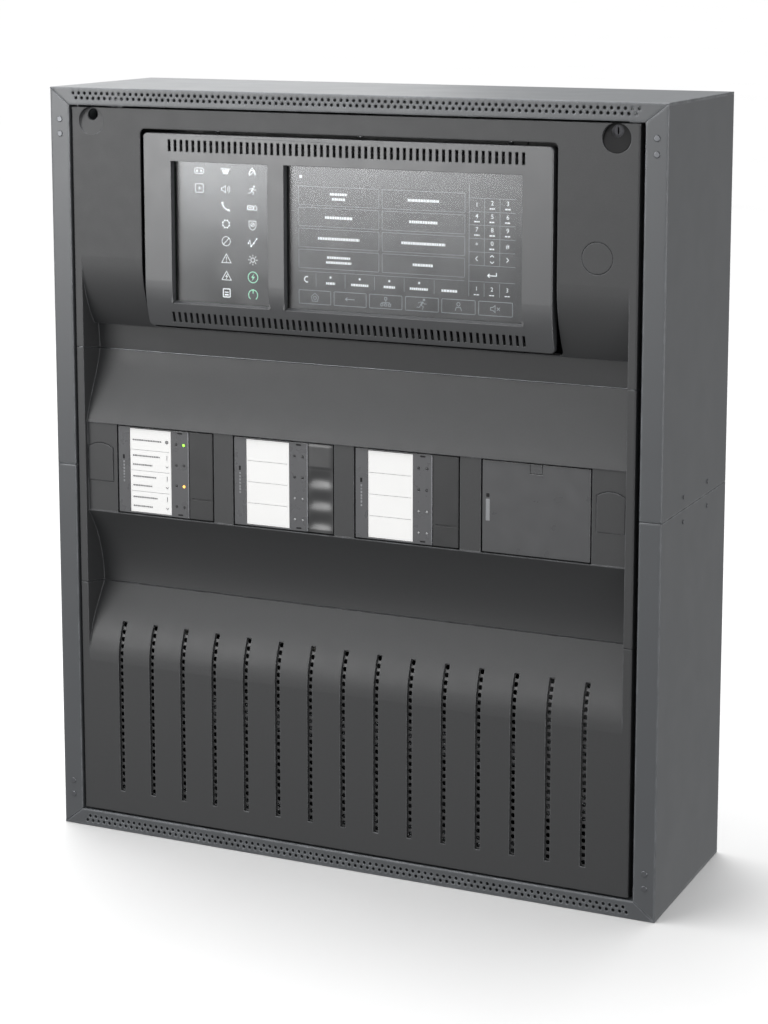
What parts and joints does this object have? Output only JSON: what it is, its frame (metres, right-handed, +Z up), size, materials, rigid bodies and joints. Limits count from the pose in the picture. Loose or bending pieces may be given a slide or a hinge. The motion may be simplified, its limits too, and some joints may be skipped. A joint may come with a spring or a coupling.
{
  "type": "fire alarm control panel",
  "caption": "Wall-mounted fire alarm control panel: sheet-steel housing with a keyed wave-fronted door, touch display controller and plug-in function modules.",
  "frame": {"origin": "centre of the four wall-fixing holes, on the rear face that lies against the wall", "axes": "+Y into the wall, +X to the viewer's right, +Z up"},
  "size_m": [0.6014, 0.1867, 0.712],
  "materials": {
    "housing_lacquer": "satin",
    "rivet_steel": "satin",
    "edge_rubber": "matt",
    "pin_steel": "satin",
    "stud_brass": "satin",
    "zinc_steel": "zinc plated",
    "circuit_board": "solder resist",
    "connector_plastic": "matt",
    "bezel_plastic": "fine satin",
    "smoked_glass": "polished",
    "display_surface": "gloss",
    "flat_cable": "matt",
    "lamp_lens": "clear lens",
    "blank_plastic": "semi-gloss",
    "battery_case": "matt",
    "terminal_tin": "tinned",
    "supply_case": "satin",
    "red_cable": "satin",
    "black_cable": "satin",
    "cover_plastic": "fine grain",
    "black_steel": "matt",
    "lock_steel": "dull chrome",
    "module_plastic": "satin",
    "label_card": "matt",
    "terminal_plastic": "fine grain"
  },
  "bodies": {
    "housing": {"alarm_buzzer": "connector_plastic", "battery_lead_black": "black_cable", "battery_lead_red": "red_cable", "battery_left": "battery_case", "battery_link_lead": "black_cable", "battery_right": "battery_case", "battery_strap": "zinc_steel", "battery_terminals": "terminal_tin", "battery_tray": "zinc_steel", "blank_plate": "blank_plastic", "bottom_panel": "housing_lacquer", "bus_board": "circuit_board", "bus_connectors": "connector_plastic", "cable_entry_trims": "edge_rubber", "controller_bezel": "bezel_plastic", "controller_board": "circuit_board", "controller_cable": "flat_cable", "controller_case": "zinc_steel", "display_panel": "display_surface", "display_window": "smoked_glass", "earth_stud": "stud_brass", "hinge_pins": "pin_steel", "housing_rivets": "rivet_steel", "icon_window": "smoked_glass", "indicator_lamps": "lamp_lens", "module_1_body": "module_plastic", "module_1_label": "label_card", "module_1_terminal_cover": "terminal_plastic", "module_2_body": "module_plastic", "module_2_label": "label_card", "module_2_terminal_cover": "terminal_plastic", "module_3_body": "module_plastic", "module_3_label": "label_card", "module_3_terminal_cover": "terminal_plastic", "mounting_post_left": "zinc_steel", "mounting_post_right": "zinc_steel", "mounting_rails": "zinc_steel", "power_supply": "supply_case", "rear_panel": "housing_lacquer", "side_panel_lower_left": "housing_lacquer", "side_panel_lower_right": "housing_lacquer", "side_panel_upper_left": "housing_lacquer", "side_panel_upper_right": "housing_lacquer", "top_panel": "housing_lacquer"},
    "door": {"upper_cover": "cover_plastic", "middle_cover": "cover_plastic", "lower_cover": "cover_plastic", "perforated_plate": "black_steel", "blanking_plug": "cover_plastic", "door_stile_left": "zinc_steel", "door_stile_right": "zinc_steel", "door_crossbar_upper": "zinc_steel", "door_crossbar_lower": "zinc_steel", "lock_sleeve": "lock_steel"},
    "lock": {"lock_barrel": "lock_steel", "lock_cam": "pin_steel"},
    "latch_left": {"latch_button_left": "cover_plastic"},
    "latch_right": {"latch_button_right": "cover_plastic"}
  },
  "joints": [
    {"name": "door_hinge", "type": "hinge", "parent": "housing", "child": "door", "pos_m": [-0.2734, -0.1799, 0], "axis": [0, 0, -1], "range_deg": [0, 100]},
    {"name": "lock_turn", "type": "hinge", "parent": "door", "child": "lock", "pos_m": [0.254, -0.172, 0.3314], "axis": [0, -1, 0], "range_deg": [0, 90]},
    {"name": "latch_left_press", "type": "slide", "parent": "door", "child": "latch_left", "axis": [0, 1, 0], "range_m": [0, 0.0025], "stiffness_N_per_m": 400, "springref_m": -0.003},
    {"name": "latch_right_press", "type": "slide", "parent": "door", "child": "latch_right", "axis": [0, 1, 0], "range_m": [0, 0.0025], "stiffness_N_per_m": 400, "springref_m": -0.003}
  ]
}
